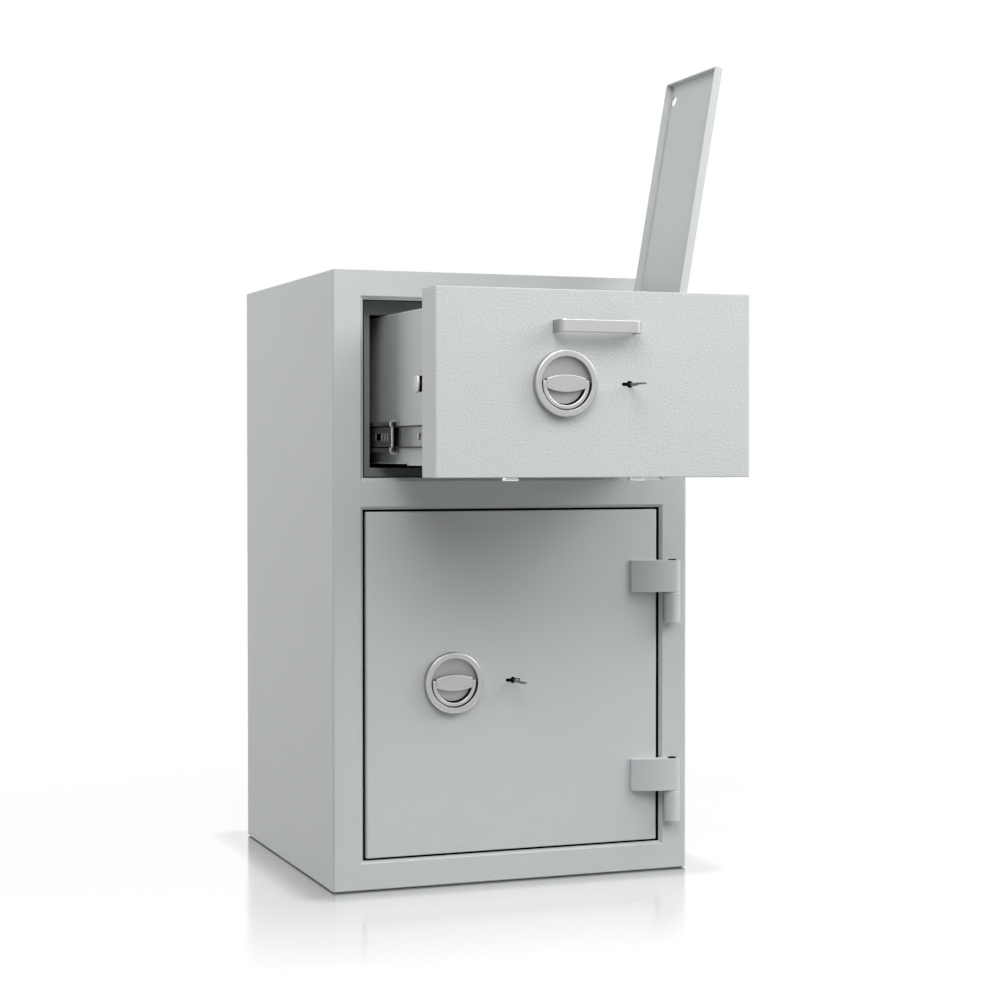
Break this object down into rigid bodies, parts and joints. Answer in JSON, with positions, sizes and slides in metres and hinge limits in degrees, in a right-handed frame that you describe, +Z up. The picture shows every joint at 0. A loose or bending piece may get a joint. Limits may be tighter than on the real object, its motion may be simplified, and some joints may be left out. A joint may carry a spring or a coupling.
{
  "type": "drop safe with deposit drawer",
  "caption": "Floor-standing steel drop safe: a lockable deposit drawer on slides with a hinged tray lid, above a hinged door, each with a turning knob, folding bail and key.",
  "frame": {"origin": "centre of the cabinet's underside, which rests on the floor", "axes": "+Z up, the front with its drawer and door faces -Y, +X to the right of a person facing the front"},
  "size_m": [0.5, 0.771, 1.0572],
  "materials": {
    "paint": "light grey textured powder coat",
    "inside": "light grey powder coat",
    "satin": "satin silver",
    "zinc": "zinc plated",
    "steel": "bright turned steel",
    "black": "moulded black"
  },
  "bodies": {
    "cabinet": {"outer_jacket": "paint", "rear_panel": "paint", "wall_bottom": "inside", "wall_left": "inside", "wall_right": "inside", "wall_top": "inside", "wall_back": "inside", "partition": "inside", "door_stop_frame": "paint", "drawer_stop_frame": "paint", "drop_guard": "inside", "hinge_knuckle_upper": "paint", "hinge_knuckle_lower": "paint", "slide_bracket_left": "zinc", "slide_bracket_right": "zinc", "slide_cabinet_left": "zinc", "slide_cabinet_right": "zinc"},
    "slide_middle_left": {"slide_middle_left": "zinc", "slide_latch_left": "black"},
    "slide_middle_right": {"slide_middle_right": "zinc", "slide_latch_right": "black"},
    "drawer": {"drawer_front": "paint", "pull_handle": "satin", "tray_side_left": "paint", "tray_side_right": "paint", "lock_bay_floor": "paint", "lock_bay_cover": "paint", "well_front_wall": "paint", "well_rear_wall": "paint", "hood_cover": "paint", "hood_floor": "paint", "hood_rear_wall": "paint", "slide_drawer_left": "zinc", "slide_drawer_right": "zinc", "lid_hinge_rod": "steel", "flap_hinge_rod": "steel", "drawer_lock": "steel"},
    "tray_lid": {"tray_lid": "paint"},
    "drop_flap": {"drop_flap": "paint"},
    "drawer_knob": {"drawer_knob": "satin", "drawer_spindle": "steel"},
    "drawer_bail": {"drawer_bail": "satin"},
    "drawer_key": {"drawer_key": "steel"},
    "drawer_bolt_left": {"drawer_bolt_left": "steel"},
    "drawer_bolt_right": {"drawer_bolt_right": "steel"},
    "drawer_bolts_lower": {"drawer_bolts_lower": "steel"},
    "door": {"door_panel": "paint", "door_case": "paint", "bolt_cover": "inside", "door_lock": "steel", "door_dogs": "steel", "hinge_leaf_upper": "paint", "hinge_leaf_lower": "paint"},
    "door_knob": {"door_knob": "satin", "door_spindle": "steel"},
    "door_bail": {"door_bail": "satin"},
    "door_key": {"door_key": "steel"},
    "door_bolts": {"door_bolts": "steel"}
  },
  "joints": [
    {"name": "drawer_slide", "type": "slide", "parent": "cabinet", "child": "drawer", "axis": [0, -1, 0], "range_m": [-0.025, 0.028]},
    {"name": "slide_middle_left_run", "type": "slide", "parent": "cabinet", "child": "slide_middle_left", "axis": [0, -1, 0], "range_m": [-0.0126, 0.0141]},
    {"name": "slide_middle_right_run", "type": "slide", "parent": "cabinet", "child": "slide_middle_right", "axis": [0, -1, 0], "range_m": [-0.0126, 0.0141]},
    {"name": "lid_hinge", "type": "hinge", "parent": "drawer", "child": "tray_lid", "pos_m": [0.156, -0.326, 0.7385], "axis": [0, -1, 0], "range_deg": [0, 99.83]},
    {"name": "flap_hinge", "type": "hinge", "parent": "drawer", "child": "drop_flap", "pos_m": [0, -0.3945, 0.5555], "axis": [-1, 0, 0], "range_deg": [0, 80], "stiffness_Nm_per_rad": 0.5, "springref_deg": -114.59},
    {"name": "drawer_knob_turn", "type": "hinge", "parent": "drawer", "child": "drawer_knob", "pos_m": [-0.0427, -0.497, 0.64805], "axis": [0, 1, 0], "range_deg": [0, 90]},
    {"name": "drawer_bail_hinge", "type": "hinge", "parent": "drawer_knob", "child": "drawer_bail", "pos_m": [-0.0427, -0.5035, 0.64855], "axis": [-1, 0, 0], "range_deg": [0, 90]},
    {"name": "drawer_key_turn", "type": "hinge", "parent": "drawer", "child": "drawer_key", "pos_m": [0.0432, -0.497, 0.64805], "axis": [0, 1, 0], "range_deg": [0, 180]},
    {"name": "drawer_bolt_left_run", "type": "slide", "parent": "drawer", "child": "drawer_bolt_left", "axis": [1, 0, 0], "range_m": [0, 0.0196]},
    {"name": "drawer_bolt_right_run", "type": "slide", "parent": "drawer", "child": "drawer_bolt_right", "axis": [-1, 0, 0], "range_m": [0, 0.0196]},
    {"name": "drawer_bolts_lower_run", "type": "slide", "parent": "drawer", "child": "drawer_bolts_lower", "axis": [0, 0, 1], "range_m": [0, 0.0196]},
    {"name": "door_swing", "type": "hinge", "parent": "cabinet", "child": "door", "pos_m": [0.2235, -0.236, 0.26575], "axis": [0, 0, 1], "range_deg": [0, 170]},
    {"name": "door_knob_turn", "type": "hinge", "parent": "door", "child": "door_knob", "pos_m": [-0.0878, -0.225, 0.26575], "axis": [0, 1, 0], "range_deg": [-90, 0]},
    {"name": "door_bail_hinge", "type": "hinge", "parent": "door_knob", "child": "door_bail", "pos_m": [-0.0878, -0.2315, 0.26625], "axis": [-1, 0, 0], "range_deg": [0, 90]},
    {"name": "door_key_turn", "type": "hinge", "parent": "door", "child": "door_key", "pos_m": [-0.003, -0.225, 0.26575], "axis": [0, 1, 0], "range_deg": [0, 180]},
    {"name": "door_bolts_run", "type": "slide", "parent": "door", "child": "door_bolts", "axis": [-1, 0, 0], "range_m": [0, 0.0251]}
  ],
  "couplings": [
    {"joint": "slide_middle_left_run", "follows": "drawer_slide", "ratio": 0.5},
    {"joint": "slide_middle_right_run", "follows": "drawer_slide", "ratio": 0.5},
    {"joint": "drawer_bolt_left_run", "follows": "drawer_knob_turn", "m_per_rad": 0.012414},
    {"joint": "drawer_bolt_right_run", "follows": "drawer_knob_turn", "m_per_rad": 0.012414},
    {"joint": "drawer_bolts_lower_run", "follows": "drawer_knob_turn", "m_per_rad": 0.012414},
    {"joint": "door_bolts_run", "follows": "door_knob_turn", "m_per_rad": -0.015915}
  ]
}
